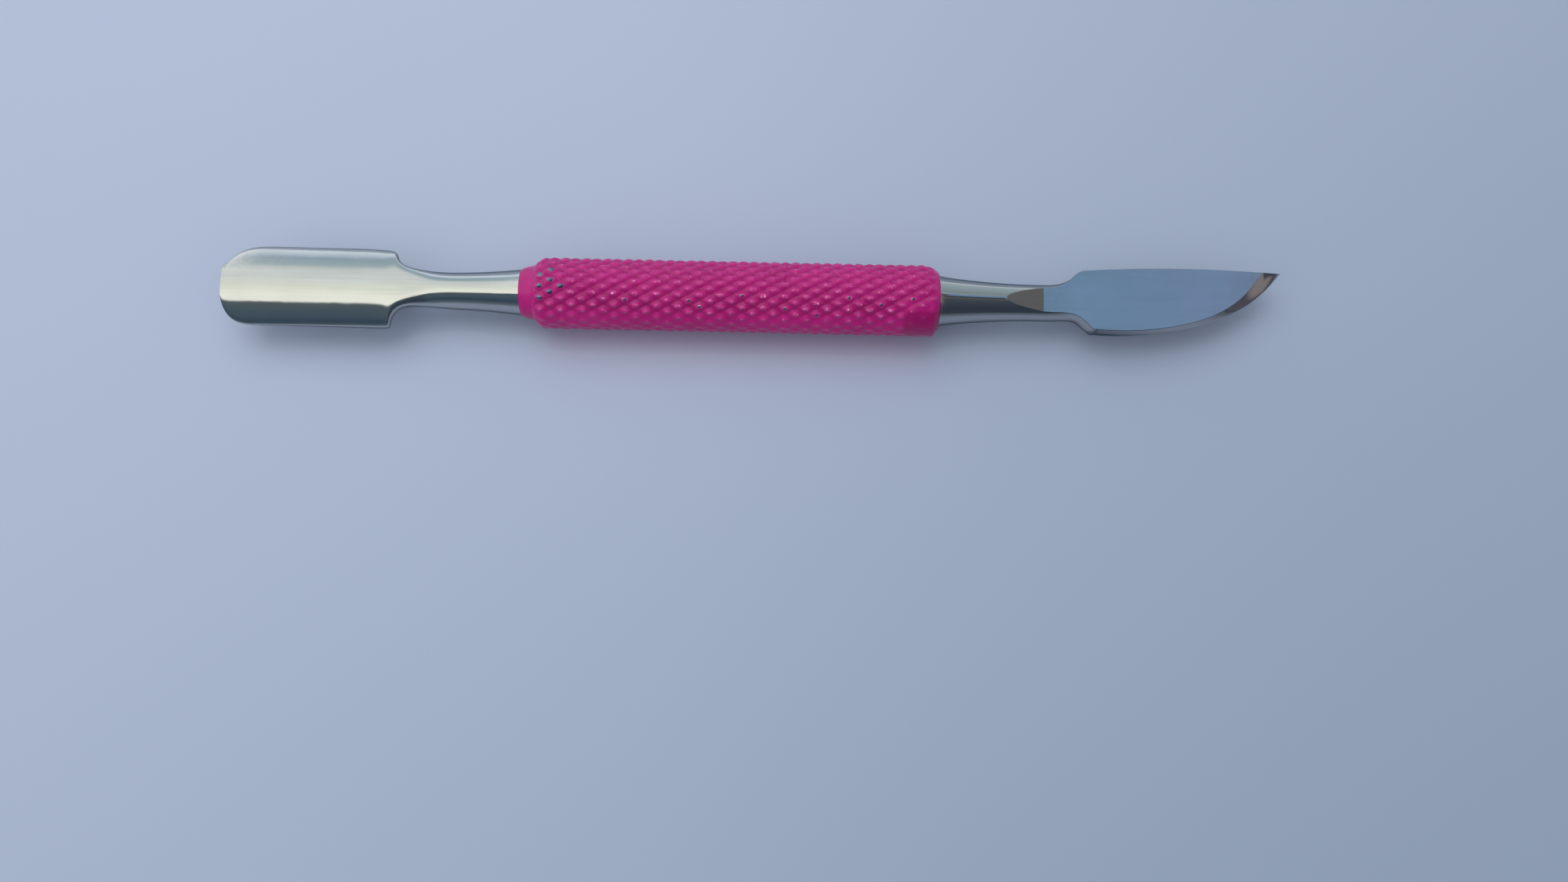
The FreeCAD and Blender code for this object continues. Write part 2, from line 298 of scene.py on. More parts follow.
def back_at(x):
    """Y of the flat's edge and of the outline on the blade's back."""
    if x < BACK_SHOULDER_END:
        return float(curve_through(BACK_OF_FLAT, x)), float(curve_through(BACK_OUTLINE, x))
    s = (x - BACK_SHOULDER_END) / (BLADE_TIP - BACK_SHOULDER_END)
    wide = BACK_AT_SHOULDER + BACK_RISE * s + BACK_BOW * s * (1 - s)
    return wide - BACK_EDGE, wide


def blade_points():
    """Rings of the blade end: a round neck ground flat above and below, then a knife with a bevelled edge."""
    out = stations(
        *TANG_STATIONS, (COAT_EDGE, GRIND_START, 18), (GRIND_START, GRIND_START + 0.5, 12),
        (GRIND_START + 0.5, FLAT_START, 18), (FLAT_START, 37.6, 16), (37.6, SHOULDER_END, 54),
        (SHOULDER_END, 57.6, 46), (57.6, 61.2, 28), (61.2, BLADE_TIP, 26),
    )
    along = np.linspace(-1, 1, FLAT_POINTS)
    down = np.sin(np.linspace(math.pi / 2, -math.pi / 2, SIDE_POINTS))
    rings = []
    for x in out:
        radius = float(neck_radius(x, BLADE_FILLET))
        height = flat_height(x, radius)
        neck_flat = math.sqrt(max(radius**2 - height**2, 0.0))
        neck_side = np.sqrt(np.maximum(radius**2 - (down * height) ** 2, 0))
        if x < FLAT_START:
            y_back, y_front = neck_flat, -neck_flat
            back_side, front_side = neck_side, -neck_side
        else:
            ease = float(smooth(x, FLAT_START, NECK_BLEND_END))
            y_back, wide = back_at(x)
            back_wall = y_back + (wide - y_back) * (1 - np.abs(down) ** BACK_WALL_POWER)
            back_side = neck_side * (1 - ease) + back_wall * ease
            if x < SHOULDER_END:
                edge, wide = float(curve_through(FRONT_OF_FLAT, x)), float(curve_through(FRONT_OUTLINE, x))
                y_front = -edge
                front_wall = -(edge + (wide - edge) * (1 - np.abs(down) ** SHOULDER_WALL_POWER))
            else:
                outer = float(cutting_edge(x))
                y_front = min(outer + float(curve_through(BEVEL_WIDTH, x)), y_back - NARROWEST_TOP)
                front_wall = outer + (y_front - outer) * np.abs(down) ** BEVEL_POWER
            front_side = -neck_side * (1 - ease) + front_wall * ease
            y_back = neck_flat * (1 - ease) + y_back * ease
            y_front = -neck_flat * (1 - ease) + y_front * ease
        broken = EDGE_BREAK * float(smooth(x, GRIND_START, FLAT_START)) * min(1.0, y_back - y_front) + LEAST_BREAK
        side_height = height - broken * BREAK_DROP
        flat_y = y_front + broken + (y_back - y_front - 2 * broken) * (along + 1) / 2
        flat_z = np.full_like(flat_y, height)
        if x < ROUND_UNTIL:
            flat_z = np.maximum(np.sqrt(np.maximum(radius**2 - flat_y**2, 0)), height)
        top = np.stack([np.full_like(along, x), flat_y, flat_z], axis=1)
        far = np.stack([np.full_like(down, x), back_side, down * side_height], axis=1)
        bottom = np.stack([np.full_like(along, x), flat_y, -flat_z], axis=1)[::-1]
        near = np.stack([np.full_like(down, x), front_side, down * side_height], axis=1)[::-1]
        rings.append(np.concatenate([top, far, bottom, near]))
    return np.array(rings)


def crease_lines(mesh, around, columns, first_ring, cross_ring, cross_columns):
    """Mark as sharp the lines along the given columns from first_ring on, and the parts of one ring."""
    ends = np.empty(2 * len(mesh.edges), int)
    mesh.edges.foreach_get("vertices", ends)
    ring, column = np.divmod(ends.reshape(-1, 2), around)
    lengthwise = (column[:, 0] == column[:, 1]) & np.isin(column[:, 0], columns) & (ring.min(axis=1) >= first_ring)
    crosswise = (ring == cross_ring).all(axis=1) & np.isin(column, cross_columns).all(axis=1)
    mesh.edges.foreach_set("use_edge_sharp", lengthwise | crosswise)


def crease_blade(mesh, points):
    """Keep the edges of the two flats, the cutting edge and the start of the flats crisp."""
    top = np.arange(FLAT_POINTS)
    bottom = top + FLAT_POINTS + SIDE_POINTS
    corners = [top[0], top[-1], top[-1] + 1, bottom[0] - 1, bottom[0], bottom[-1], bottom[-1] + 1, -1]
    cutting = bottom[-1] + 1 + SIDE_POINTS // 2
    around = points.shape[1]
    along = points[:, 0, 0]
    first = int(np.searchsorted(along, GRIND_START))
    start = int(np.searchsorted(along, FLAT_START))
    crease_lines(mesh, around, [c % around for c in (*corners, cutting)], first, start, [*top, *bottom])


# --- grip -----------------------------------------------------------------------------------------------------------

# The knurl: starts round the bar, length of one diamond, depth, where its two sets of grooves begin, how deep the
# cross grooves are beside the others, and the power that joins the two (1 gives flat-sided pyramids).
KNURL_STARTS = 18
KNURL_LENGTH = 2.4
KNURL_DEPTH = 0.40
KNURL_PHASE_A = 0.425
KNURL_PHASE_B = -0.075
CROSS_GROOVES = 0.96
KNURL_POWER = 1.8

# Each crest is rounded off as sqrt(dip**2 + CREST_SQUARED), then shifted and scaled to run from about 0 to 1.
CREST_SQUARED = 0.02
CREST_SHIFT = 0.14
CREST_SCALE = 0.87

# Radius of the coated grip at its -X end: a smooth collar of enamel on the neck, then the shoulder of the sleeve.
COLLAR = [
    (-24.8, 2.70), (-24.5, 2.86), (-24.1, 2.98), (-23.6, 3.10), (-23.3, 3.20), (-23.1, 3.36), (-22.95, 3.56),
    (-22.7, 3.80), (-22.4, 3.98), (-22.0, 4.09), (-21.6, GRIP_RADIUS), (GRIP_END, GRIP_RADIUS),
]
COLLAR_RING_PITCH = 0.34
COLLAR_RING_HEIGHT = 0.018

# The +X end is rounded off, from a line that starts later the further round from ROUNDING_SIDE.
ROUNDING_START = 21.5
ROUNDING_WANDER = 0.8
ROUNDING_SIDE = 75
ROUNDING_DROP = 0.85
ROUNDING_POWER = 1.4

# Where the knurl fades out at the two ends, and where the rings of the collar stop, as distances along the tool.
KNURL_FADES_IN = (-23.1, -22.5)
KNURL_FADES_OUT = (21.7, 22.8)
COLLAR_RINGS_STOP = (-23.9, -23.3)

# Enamel: how much its thickness varies, how much it rounds the grooves on the lower -Y side, and how much of the
# knurl is lost where it has pooled low down or been smeared near the +X end. Each side is given in degrees round
# from the top towards +Y. SKIN keeps all of it inside the CAD.
PAINT_UNEVENNESS = 0.02
PAINT_FILLING = 0.6
FILLED_SIDE = -60
PAINT_POOLED = 0.60
POOLED_SIDE = -100
PAINT_SMEARED = 0.85
SMEARED_SIDE = -62
SMEARED_FROM = (17.8, 20.2)
# The crests get a painted highlight, strongest on the side this many degrees round from the top towards +Y.
HIGHLIGHT_SIDE = -38
SKIN = 0.018

# Gap between the visible skin of the enamel and the knurled steel below it.
COAT_GAP = 0.06

# Where the enamel has rubbed off the tips: distance along the tool in mm, and degrees round from the top towards +Y.
WORN_TIPS = [
    (-22.2, 16.5), (-21.0, 26.5), (-21.0, 6.5), (-22.2, -3.5), (-19.8, -3.5), (-21.0, -13.5), (-22.2, -23.5),
]
SCUFFED_TIPS = [
    (-12.9, -24), (-6.0, -20), (-5.0, -33), (1.0, -14), (4.5, -34), (8.1, -46), (11.9, -14), (15.5, -25), (20.4, -12),
    (-19.2, 66), (-16.8, 66), (-14.4, 66), (-9.6, 66), (-7.2, 66), (-2.4, 66), (2.4, 66), (7.2, 66), (12.0, 66),
]
WORN_REACH = 0.30
SCUFFED_REACH = 0.17
BARE_DEPTH = 0.02

# A bare patch is longer along the tool than round it, full within its core and gone beyond its rim.
PATCH_STRETCH = 1.25
PATCH_CORE = 0.7
PATCH_RIM = 1.2


def knurl_dip(x, angle):
    """How far down between the knurl's crests a point is, 0 to 1, with the enamel filling the grooves."""
    cells = KNURL_STARTS * angle / (2 * math.pi)
    a = cells - x / KNURL_LENGTH + KNURL_PHASE_A
    b = cells + x / KNURL_LENGTH + KNURL_PHASE_B
    rise_a = np.abs(2 * (a - np.floor(a)) - 1)
    rise_b = np.abs(2 * (b - np.floor(b)) - 1) * CROSS_GROOVES
    both = rise_a**KNURL_POWER + rise_b**KNURL_POWER
    dip = (both / (1 + CROSS_GROOVES**KNURL_POWER)) ** (1 / KNURL_POWER)
    dip = (np.sqrt(dip**2 + CREST_SQUARED) - CREST_SHIFT) / CREST_SCALE
    filled = 1.0 + PAINT_FILLING * smooth(facing(angle, FILLED_SIDE), 0.2, 0.9)
    return 1 - np.maximum(1 - dip, 0) ** filled


def nearest_tip(at, degrees):
    """Distance along and angle of the knurl's crest nearest to a place."""
    cells = KNURL_STARTS * degrees / 360
    a = math.floor(cells - at / KNURL_LENGTH + KNURL_PHASE_A) + 0.5 - KNURL_PHASE_A
    b = math.floor(cells + at / KNURL_LENGTH + KNURL_PHASE_B) + 0.5 - KNURL_PHASE_B
    return (b - a) / 2 * KNURL_LENGTH, (a + b) * math.pi / KNURL_STARTS


def bare_patches(x, angle):
    """How bare of enamel each point is, 0 to 1, round the worn and scuffed tips."""
    bare = np.zeros_like(x)
    for places, reach in ((WORN_TIPS, WORN_REACH), (SCUFFED_TIPS, SCUFFED_REACH)):
        for at, degrees in places:
            tip_x, tip_angle = nearest_tip(at, degrees)
            round_by = (angle - tip_angle + math.pi) % (2 * math.pi) - math.pi
            distance = np.hypot((x - tip_x) / PATCH_STRETCH, round_by * GRIP_RADIUS)
            bare = np.maximum(bare, 1 - smooth(distance, reach * PATCH_CORE, reach * PATCH_RIM))
    return bare


def paint_swell(x, angle):
    """Slow and quick waves in the enamel's thickness, -1 to 1."""
    slow = np.sin(1.9 * x + 3 * angle) * np.sin(0.7 * x - 5 * angle + 1)
    quick = np.sin(4.3 * x - 2 * angle + 2) * np.sin(2.2 * x + 9 * angle)
    return 0.5 * slow + 0.5 * quick


def grip_points():
    """Rings of the coated grip, and for each point how bare it is, how much painted shade it gets in the knurl's
    grooves or in a darker patch, and how much painted highlight on its crest.
    """
    along = stations((-COAT_EDGE, -23.5, 14), (-23.5, -22.4, 26), (-22.4, 21.4, 480), (21.4, GRIP_END, 26))
    turn = np.linspace(0, 2 * math.pi, 324, endpoint=False)
    x, angle = np.meshgrid(along, turn, indexing="ij")

    corner = ROUNDING_START + ROUNDING_WANDER * (0.5 - 0.5 * facing(angle, ROUNDING_SIDE))
    rounding = np.clip((x - corner) / (GRIP_END - corner), 0, 1)
    shell = curve_through(COLLAR, x) - ROUNDING_DROP * rounding**ROUNDING_POWER
    dip = knurl_dip(x, angle)
    swell = paint_swell(x, angle)
    bare = bare_patches(x, angle)

    below = facing(angle, SMEARED_SIDE)
    smeared = smooth(x, *SMEARED_FROM) * smooth(below, 0.55, 0.9)
    pooled = PAINT_POOLED * smooth(facing(angle, POOLED_SIDE), 0.42, 0.80)
    knurled = smooth(x, *KNURL_FADES_IN) * (1 - smooth(x, *KNURL_FADES_OUT))
    knurled = knurled * (1 - PAINT_SMEARED * smeared) * (1 - pooled) * (0.93 + 0.10 * swell)
    ringed = COLLAR_RING_HEIGHT * (1 - smooth(x, *COLLAR_RINGS_STOP))
    radius = shell - KNURL_DEPTH * knurled * dip - PAINT_UNEVENNESS * knurled * (1 - np.abs(swell))
    radius = radius + ringed * np.sin(2 * math.pi * x / COLLAR_RING_PITCH) - SKIN - BARE_DEPTH * bare

    points = np.stack([x, radius * np.sin(angle), radius * np.cos(angle)], axis=-1)
    # The dip attribute is painted shade: it darkens the enamel in the knurl's grooves, and also darkens a patch low on
    # the -Y side near the +X end.
    pit_shade_and_dark_patch = np.clip(np.maximum(dip * knurled, 1.5 * smeared * smooth(below, 0.80, 0.97)), 0, 1.5)
    # Painted highlight: the knurl's crests are lightened, most on one side round the grip and unevenly along it.
    highlight_side_mask = (0.22 + 0.78 * smooth(facing(angle, HIGHLIGHT_SIDE), 0.55, 0.95)) * (0.75 + 0.5 * swell)
    tips = np.clip((1 - smooth(dip, 0.10, 0.45)) * knurled * highlight_side_mask, 0, 1)
    return points, bare, pit_shade_and_dark_patch, tips


def sleeve_points(coat):
    """Rings of the knurled steel just below the enamel, from the coat's own rings without its collar."""
    points = coat[coat[:, 0, 0] >= -GRIP_END - 1e-6].copy()
    points[..., 1:] *= 1 - COAT_GAP / GRIP_RADIUS
    return points


# --- materials ------------------------------------------------------------------------------------------------------

BLACK = (0, 0, 0)
WHITE = (1, 1, 1)

PUSHER_STEEL = (0.595, 0.595, 0.585)
# The blade's steel is a darker copy of the pusher's, so that what it reflects comes out darker: painted shade.
BLADE_STEEL_WITH_SHADE = (0.52, 0.52, 0.52)
SLEEVE_STEEL = (0.62, 0.63, 0.62)
STEEL_AT_GRAZING = (0.30, 0.34, 0.38, 1.0)

ENAMEL_THIN = (0.355, 0.006, 0.145)
ENAMEL_THICK = (0.435, 0.010, 0.178)
# Painted shade: a darker enamel laid into the knurl's grooves.
ENAMEL_PIT_SHADE = (0.25, 0.002, 0.092)
# Painted highlight and painted sparkle laid on the knurl's crests.
ENAMEL_PAINTED_HIGHLIGHT = (0.58, 0.095, 0.29)
ENAMEL_PAINTED_SPARKLE = (0.95, 0.70, 0.86)
BARE_STEEL = (0.17, 0.18, 0.27)

# The floor runs from its light tone to a darker one towards the +X, -Y corner, as painted shade.
FLOOR_LIGHT = (0.396, 0.443, 0.588)
FLOOR_PAINTED_SHADE = (0.246, 0.316, 0.424)


class Nodes:
    """Shorthand for building one node tree."""

    def __init__(self, tree):
        self.tree = tree

    def add(self, kind, **settings):
        node = self.tree.nodes.new(kind)
        for key, value in settings.items():
            setattr(node, key, value)
        return node

    def link(self, source, target):
        self.tree.links.new(source, target)

    def attribute(self, name):
        return self.add("ShaderNodeAttribute", attribute_name=name).outputs["Fac"]

    def math(self, operation, *values, clamp=False):
        """A Math node whose inputs are numbers or other sockets."""
        node = self.add("ShaderNodeMath", operation=operation, use_clamp=clamp)
        for i, value in enumerate(values):
            if isinstance(value, (int, float)):
                node.inputs[i].default_value = value
            else:
                self.link(value, node.inputs[i])
        return node.outputs[0]

    def noise(self, vector, scale, detail=3.0, stretch=(1, 1, 1)):
        """Noise over a vector; stretch below 1 draws it out along that axis."""
        mapping = self.add("ShaderNodeMapping")
        mapping.inputs["Scale"].default_value = stretch
        self.link(vector, mapping.inputs["Vector"])
        node = self.add("ShaderNodeTexNoise")
        node.inputs["Scale"].default_value = scale
        node.inputs["Detail"].default_value = detail
        self.link(mapping.outputs[0], node.inputs["Vector"])
        return node.outputs["Fac"]

    def ramp(self, value, stops):
        """A colour ramp through (position, colour) stops."""
        node = self.add("ShaderNodeValToRGB")
        while len(node.color_ramp.elements) < len(stops):
            node.color_ramp.elements.new(0.5)
        for element, (position, colour) in zip(node.color_ramp.elements, stops):
            element.position = position
            element.color = (*colour, 1.0)
        self.link(value, node.inputs["Fac"])
        return node.outputs["Color"]

    def mix(self, factor, first, second, blend="MIX"):
        """A colour mix; the factor and both colours are values or other sockets."""
        node = self.add("ShaderNodeMix", data_type="RGBA", blend_type=blend)
        for socket, value in zip((node.inputs[0], node.inputs[6], node.inputs[7]), (factor, first, second)):
            if isinstance(value, (int, float)):
                socket.default_value = value
            elif isinstance(value, tuple):
                socket.default_value = (*value, 1.0)
            else:
                self.link(value, socket)
        return node.outputs[2]

    def times(self, first, second):
        return self.mix(1.0, first, second, "MULTIPLY")

    def bump(self, height, strength, distance):
        node = self.add("ShaderNodeBump")
        node.inputs["Strength"].default_value = strength
        node.inputs["Distance"].default_value = distance
        self.link(height, node.inputs["Height"])
        return node.outputs[0]


def new_material(name):
    """A material with its nodes and its Principled shader."""
    material = bpy.data.materials.new(name)
    material.use_nodes = True
    nodes = Nodes(material.node_tree)
    shader = next(n for n in material.node_tree.nodes if n.type == "BSDF_PRINCIPLED")
    return material, nodes, shader


def polished_steel(name, colour, roughness, streaked=0.055):
    """Polished steel: faint lengthwise marks, a haze that varies and darker grazing angles; streaked is their depth."""
    material, nodes, shader = new_material(name)
    where = nodes.add("ShaderNodeTexCoord").outputs["Object"]
    haze = nodes.noise(where, 220.0, 4.0)
    marks = nodes.noise(where, 900.0, 4.0, stretch=(0.12, 1.6, 1.6))
    streaks = nodes.noise(where, 900.0, 4.0, stretch=(0.09, 3.0, 3.0))
    tint = nodes.ramp(haze, [(0.3, tuple(c * 0.94 for c in colour)), (0.7, colour)])
    lines = nodes.ramp(streaks, [(0.32, (1 - streaked,) * 3), (0.64, WHITE)])
    nodes.link(nodes.times(tint, lines), shader.inputs["Base Color"])
    rough = nodes.math("MULTIPLY_ADD", marks, roughness * 0.9, roughness * 0.55)
    nodes.link(rough, shader.inputs["Roughness"])
    waves = nodes.math("ADD", haze, nodes.math("MULTIPLY", marks, 0.06))
    nodes.link(nodes.bump(waves, strength=0.6, distance=0.00005), shader.inputs["Normal"])
    shader.inputs["Metallic"].default_value = 1.0
    shader.inputs["Specular Tint"].default_value = STEEL_AT_GRAZING
    return material


def worn_enamel():
    """Magenta enamel with painted shade in the grooves and a painted highlight and sparkle on the crests, worn to steel
    on some tips.
    """
    material, nodes, shader = new_material("worn_magenta_enamel")
    where = nodes.add("ShaderNodeTexCoord").outputs["Object"]
    bare = nodes.attribute("bare")
    dip = nodes.attribute("dip")
    tip = nodes.attribute("tip")
    patch = nodes.noise(where, 260.0, 4.0)
    speck = nodes.noise(where, 2600.0, 3.0)
    sparkle_noise = nodes.noise(where, 5200.0, 1.0)

    enamel = nodes.ramp(patch, [(0.3, ENAMEL_THIN), (0.7, ENAMEL_THICK)])
    # Painted shade: the deeper a point lies in a groove, the darker its enamel is made.
    pit_shade_mask = nodes.ramp(dip, [(0.30, BLACK), (0.92, WHITE)])
    enamel = nodes.mix(nodes.math("MULTIPLY", pit_shade_mask, 0.8), enamel, ENAMEL_PIT_SHADE)
    # Painted highlight: speckled lighter enamel on the crests, then small painted sparkles on them.
    rubbed = nodes.ramp(speck, [(0.38, (0.25, 0.25, 0.25)), (0.58, (0.95, 0.95, 0.95))])
    enamel = nodes.mix(nodes.math("MULTIPLY", tip, rubbed), enamel, ENAMEL_PAINTED_HIGHLIGHT)
    sparkle = nodes.ramp(sparkle_noise, [(0.66, BLACK), (0.70, WHITE)])
    enamel = nodes.mix(nodes.math("MULTIPLY", tip, sparkle), enamel, ENAMEL_PAINTED_SPARKLE)

    ragged = nodes.math("MULTIPLY_ADD", speck, 0.7, -0.35)
    ragged = nodes.math("ADD", bare, nodes.math("MULTIPLY", ragged, 0.6))
    bared = nodes.ramp(ragged, [(0.46, BLACK), (0.54, WHITE)])
    nodes.link(nodes.mix(bared, enamel, BARE_STEEL), shader.inputs["Base Color"])
    nodes.link(bared, shader.inputs["Metallic"])
    nodes.link(nodes.math("MULTIPLY_ADD", patch, 0.16, 0.20), shader.inputs["Roughness"])
    height = nodes.math("ADD", nodes.math("MULTIPLY", speck, 0.5), patch)
    nodes.link(nodes.bump(height, strength=0.35, distance=0.00005), shader.inputs["Normal"])
    shader.inputs["Coat Weight"].default_value = 0.12
    shader.inputs["Coat Roughness"].default_value = 0.12
    shader.inputs["Specular IOR Level"].default_value = 0.26
    return material


def pale_floor_material():
    """Smooth pale board, faintly cloudy, with painted shade that darkens it towards the +X, -Y corner."""
    material, nodes, shader = new_material("pale_floor")
    where = nodes.add("ShaderNodeTexCoord").outputs["Object"]
    split = nodes.add("ShaderNodeSeparateXYZ")
    nodes.link(where, split.inputs[0])
    # Painted shade: the floor's colour darkens towards the +X, -Y corner.
    slope = nodes.math("MULTIPLY_ADD", split.outputs[1], -3.4, nodes.math("MULTIPLY", split.outputs[0], 1.7))
    cloud = nodes.math("MULTIPLY", nodes.noise(where, 9.0, 2.0), 0.16)
    place = nodes.math("ADD", nodes.math("ADD", slope, 0.42), cloud, clamp=True)
    colour = nodes.ramp(place, [(0.0, FLOOR_LIGHT), (1.0, FLOOR_PAINTED_SHADE)])
    nodes.link(colour, shader.inputs["Base Color"])
    shader.inputs["Roughness"].default_value = 0.4
    shader.inputs["IOR"].default_value = 1.6
    return material


# --- surroundings ---------------------------------------------------------------------------------------------------

FLOOR_HALF_SIDE = 4.0

# The studio's colours by degrees from overhead: negative is down the -Y side, positive down the +Y side. The first
# set is for the -X half of the room, the second for the dimmer +X half.
LOW_SOUTH = (0.10, 0.12, 0.15)
WEST_BANDS = [
    (-90, LOW_SOUTH), (-83, LOW_SOUTH), (-79, (0.056, 0.082, 0.110)), (-62, (0.036, 0.058, 0.086)),
    (-46, (0.054, 0.083, 0.115)), (-24, (0.074, 0.100, 0.112)), (-21, (0.86, 0.87, 0.80)), (-10, (0.84, 0.85, 0.76)),
    (7, (0.70, 0.74, 0.65)), (26, (0.60, 0.64, 0.64)), (43, (0.56, 0.60, 0.59)), (53, (0.31, 0.405, 0.44)),
    (68, (0.27, 0.355, 0.43)), (77, (0.50, 0.585, 0.68)), (90, (0.66, 0.73, 0.80)),
]
EAST_BANDS = [
    (-90, LOW_SOUTH), (-83, LOW_SOUTH), (-79, (0.034, 0.047, 0.068)), (-52, (0.032, 0.044, 0.065)),
    (-26, (0.042, 0.055, 0.077)), (-5, (0.060, 0.070, 0.088)), (2, (0.090, 0.096, 0.102)), (20, (0.115, 0.126, 0.134)),
    (31, (0.22, 0.27, 0.29)), (62, (0.29, 0.376, 0.415)), (76, (0.34, 0.42, 0.46)), (83, (0.36, 0.44, 0.48)),
    (86, (0.62, 0.68, 0.70)), (90, (0.62, 0.68, 0.70)),
]
FAR_WEST_GLOW = (0.80, 0.83, 0.82)

# Two cards hang on the +X side: a blue one over the blade's flat and a brown one for its ground facet and bevel.
BLUE_CARD = [(14.5, (0.160, 0.292, 0.450)), (23, (0.182, 0.268, 0.440))]
BROWN_CARD = [
    (-75, (0.08, 0.077, 0.10)), (-40, (0.08, 0.075, 0.10)), (-22, (0.215, 0.193, 0.20)), (4, (0.215, 0.193, 0.20)),
    (10, (0.12, 0.117, 0.117)), (24, (0.12, 0.117, 0.117)),
]

# What lights rough surfaces is mostly an even grey, and what the camera sees past the floor is a plain pale blue.
EVEN_SHARE = 0.72
EVEN_LIGHT = (0.46, 0.455, 0.47)
BACKDROP = (0.40, 0.44, 0.51)
STUDIO_STRENGTH = 1.6

CAMERA_PLACE = (0.00564, -0.0428, 0.148)
CAMERA_LEAN = 10.0
CAMERA_ROLL = 1.19
CAMERA_LENS = 30.56
CAMERA_SENSOR = 36.0


def make_floor(height):
    """A plain square floor under the grip."""
    mesh = bpy.data.meshes.new("floor")
    side = FLOOR_HALF_SIDE
    corners = [(-side, -side, height), (side, -side, height), (side, side, height), (-side, side, height)]
    mesh.from_pydata(corners, [], [(0, 1, 2, 3)])
    floor = bpy.data.objects.new("floor", mesh)
    bpy.context.collection.objects.link(floor)
    mesh.materials.append(pale_floor_material())


def angle_stops(stops):
    """Ramp stops from (degrees, colour) pairs over -90 to 90 degrees."""
    return [((degrees + 90) / 180, colour) for degrees, colour in stops]


def window(nodes, value, *degrees):
    """A mask from four angles: dark up to the first, full between the middle two, dark after the last."""
    return nodes.ramp(value, angle_stops(zip(degrees, (BLACK, WHITE, WHITE, BLACK))))


def make_world():
    """A soft studio: a warm bright ceiling, cooler and dimmer to the +X side, and a dark screen low on the -Y side."""
    world = bpy.data.worlds.new("studio")
    bpy.context.scene.world = world
    world.use_nodes = True
    nodes = Nodes(world.node_tree)
    world.node_tree.nodes.clear()
    direction = nodes.add("ShaderNodeTexCoord").outputs["Generated"]
    split = nodes.add("ShaderNodeSeparateXYZ")
    nodes.link(direction, split.inputs[0])
    x, y, z = split.outputs
    up = nodes.math("MAXIMUM", z, 0.001)
    north = nodes.math("DIVIDE", nodes.math("ADD", nodes.math("ARCTAN2", y, up), math.pi / 2), math.pi)
    east = nodes.math("DIVIDE", nodes.math("ADD", nodes.math("ARCSINE", x), math.pi / 2), math.pi)

    west_side = nodes.ramp(north, angle_stops(WEST_BANDS))
    east_side = nodes.ramp(north, angle_stops(EAST_BANDS))
    towards_east = nodes.ramp(east, angle_stops([(-2, BLACK), (5, WHITE)]))
    sky = nodes.mix(towards_east, west_side, east_side)
    far_west = nodes.ramp(east, angle_stops([(-24.2, (0.7, 0.7, 0.7)), (-20.8, BLACK)]))
    upper = nodes.ramp(north, angle_stops([(8, BLACK), (40, WHITE)]))
    sky = nodes.mix(nodes.times(far_west, upper), sky, FAR_WEST_GLOW)

    blue_card = nodes.times(window(nodes, east, 13.0, 14.0, 23.9, 24.3), window(nodes, north, 12.0, 13.4, 19.2, 20.6))
    sky = nodes.mix(blue_card, sky, nodes.ramp(east, angle_stops(BLUE_CARD)))
    facet_card = nodes.times(window(nodes, east, 23.9, 24.3, 60, 70), window(nodes, north, 2, 8, 22, 26))
    bevel_card = nodes.times(window(nodes, east, 27, 35, 60, 70), window(nodes, north, -80, -75, 2, 8))
    brown_cards = nodes.math("MAXIMUM", facet_card, bevel_card)
    sky = nodes.mix(brown_cards, sky, nodes.ramp(north, angle_stops(BROWN_CARD)))

    path = nodes.add("ShaderNodeLightPath")
    sky = nodes.mix(nodes.math("MULTIPLY", path.outputs["Is Diffuse Ray"], EVEN_SHARE), sky, EVEN_LIGHT)
    sky = nodes.mix(path.outputs["Is Camera Ray"], sky, BACKDROP)
    background = nodes.add("ShaderNodeBackground")
    nodes.link(sky, background.inputs["Color"])
    background.inputs["Strength"].default_value = STUDIO_STRENGTH
    output = nodes.add("ShaderNodeOutputWorld")
    nodes.link(background.outputs[0], output.inputs["Surface"])


def make_light(name, place, target, size, power, colour, mirrored=False):
    """A disc of light at a place, facing a target; the steel only mirrors it if asked to."""
    light = bpy.data.lights.new(name, "AREA")
    light.shape = "DISK"
    light.size = size
    light.energy = power
    light.color = colour
    lamp = bpy.data.objects.new(name, light)
    bpy.context.collection.objects.link(lamp)
    lamp.location = place
    lamp.visible_glossy = mirrored
    lamp.rotation_euler = (Vector(target) - Vector(place)).to_track_quat("-Z", "Y").to_euler()
    return lamp


def make_lights():
    """A broad key from the +Y side, a weak fill, a small glint, and a trace of the enamel's own pink on the floor."""
    middle = (0.0, 0.0, 0.0)
    pusher_side = (-0.05, 0.0, 0.0)
    by_the_grip = (0.0, -0.0085, -0.0062)
    make_light("key", (-0.07, 0.15, 0.34), middle, size=0.36, power=0.70, colour=(0.95, 0.98, 1.0))
    make_light("fill", (-0.18, -0.12, 0.15), pusher_side, size=0.20, power=0.07, colour=(0.96, 0.98, 1.0))
    make_light("glint", (-0.03, 0.10, 0.30), middle, size=0.006, power=0.02, colour=WHITE, mirrored=True)
    bounce = make_light(
        "bounce", (0.0, -0.0040, -0.0012), by_the_grip, size=0.044, power=0.00015, colour=(1.0, 0.02, 0.36),
    )
    bounce.data.shape = "RECTANGLE"
    bounce.data.size_y = 0.0016
    bounce.visible_camera = False


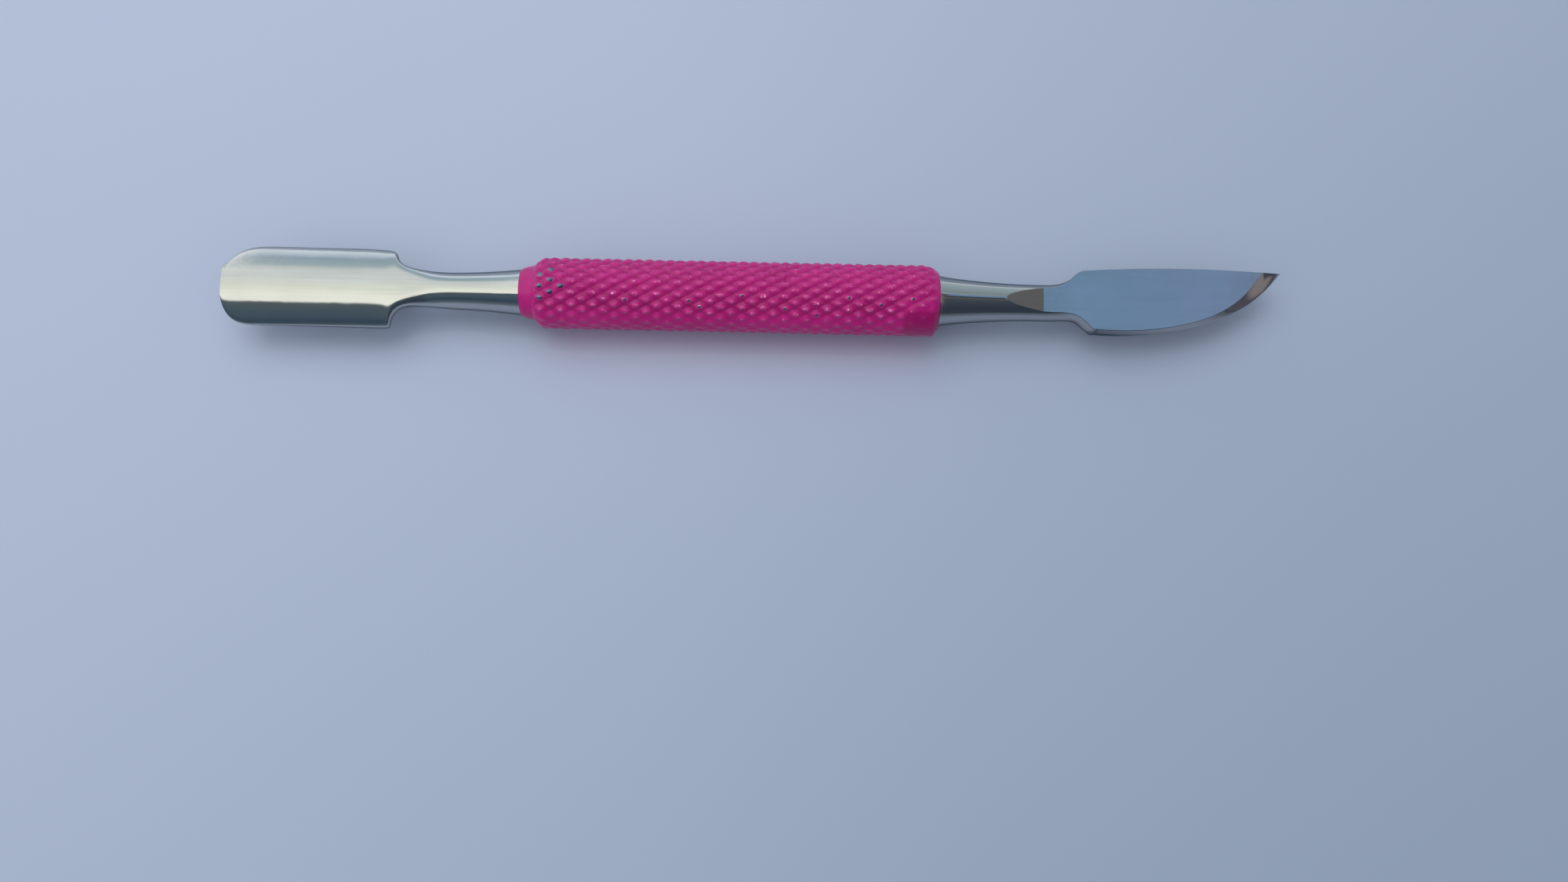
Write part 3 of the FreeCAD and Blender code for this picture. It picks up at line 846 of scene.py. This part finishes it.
def make_camera():
    """Above the tool and a little to its -Y side, leaning back, turned so that the tool dips to the right."""
    camera = bpy.data.cameras.new("camera")
    camera.sensor_width = CAMERA_SENSOR
    camera.lens = CAMERA_LENS
    camera.clip_start = 0.005
    lean = math.radians(CAMERA_LEAN)
    roll = math.radians(CAMERA_ROLL)
    ahead = Vector((0.0, math.sin(lean), -math.cos(lean)))
    level_up = Vector((0.0, math.cos(lean), math.sin(lean)))
    right = Vector((1, 0, 0)) * math.cos(roll) + level_up * math.sin(roll)
    up = level_up * math.cos(roll) - Vector((1, 0, 0)) * math.sin(roll)
    eye = bpy.data.objects.new("camera", camera)
    bpy.context.collection.objects.link(eye)
    turn = Matrix((right, up, -ahead)).transposed().to_4x4()
    eye.matrix_world = Matrix.Translation(CAMERA_PLACE) @ turn
    bpy.context.scene.camera = eye


# --- assembly -------------------------------------------------------------------------------------------------------


def add_piece(piece, material, node):
    """Give a piece its material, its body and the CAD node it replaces."""
    piece.data.materials.append(material)
    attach(piece, "root")
    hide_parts(node)


def set_attribute(thing, name, values):
    """One number for each point of a mesh, for its material to read."""
    attribute = thing.data.attributes.new(name, "FLOAT", "POINT")
    attribute.data.foreach_set("value", values.reshape(-1).astype(np.float32))


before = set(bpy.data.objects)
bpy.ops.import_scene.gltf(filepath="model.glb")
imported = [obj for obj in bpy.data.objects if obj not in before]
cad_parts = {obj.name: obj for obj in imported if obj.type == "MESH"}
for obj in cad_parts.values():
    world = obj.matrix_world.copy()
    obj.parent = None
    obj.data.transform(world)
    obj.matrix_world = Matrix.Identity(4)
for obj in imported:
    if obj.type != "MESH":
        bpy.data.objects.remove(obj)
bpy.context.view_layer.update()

pusher = grid_object("pusher_forging", pusher_points(), crease_degrees=38)
add_piece(pusher, polished_steel("mirror_steel", PUSHER_STEEL, 0.10), "pusher_end")

points = blade_points()
blade = grid_object("blade_forging", points)
crease_blade(blade.data, points)
add_piece(blade, polished_steel("shaded_ground_mirror_steel", BLADE_STEEL_WITH_SHADE, 0.10, 0.02), "blade_end")

points, bare, pit_shade_and_dark_patch, tips = grip_points()
grip = grid_object("knurled_enamel_grip", points, crease_degrees=60)
set_attribute(grip, "bare", bare)
set_attribute(grip, "dip", pit_shade_and_dark_patch)
set_attribute(grip, "tip", tips)
add_piece(grip, worn_enamel(), "grip_coating")

sleeve = grid_object("knurled_steel_sleeve", sleeve_points(points), crease_degrees=60)
add_piece(sleeve, polished_steel("sleeve_steel", SLEEVE_STEEL, 0.3), "handle_sleeve")

make_floor(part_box("grip_coating")[0][2])
make_world()
make_lights()
make_camera()
bpy.context.scene.view_settings.view_transform = "Standard"
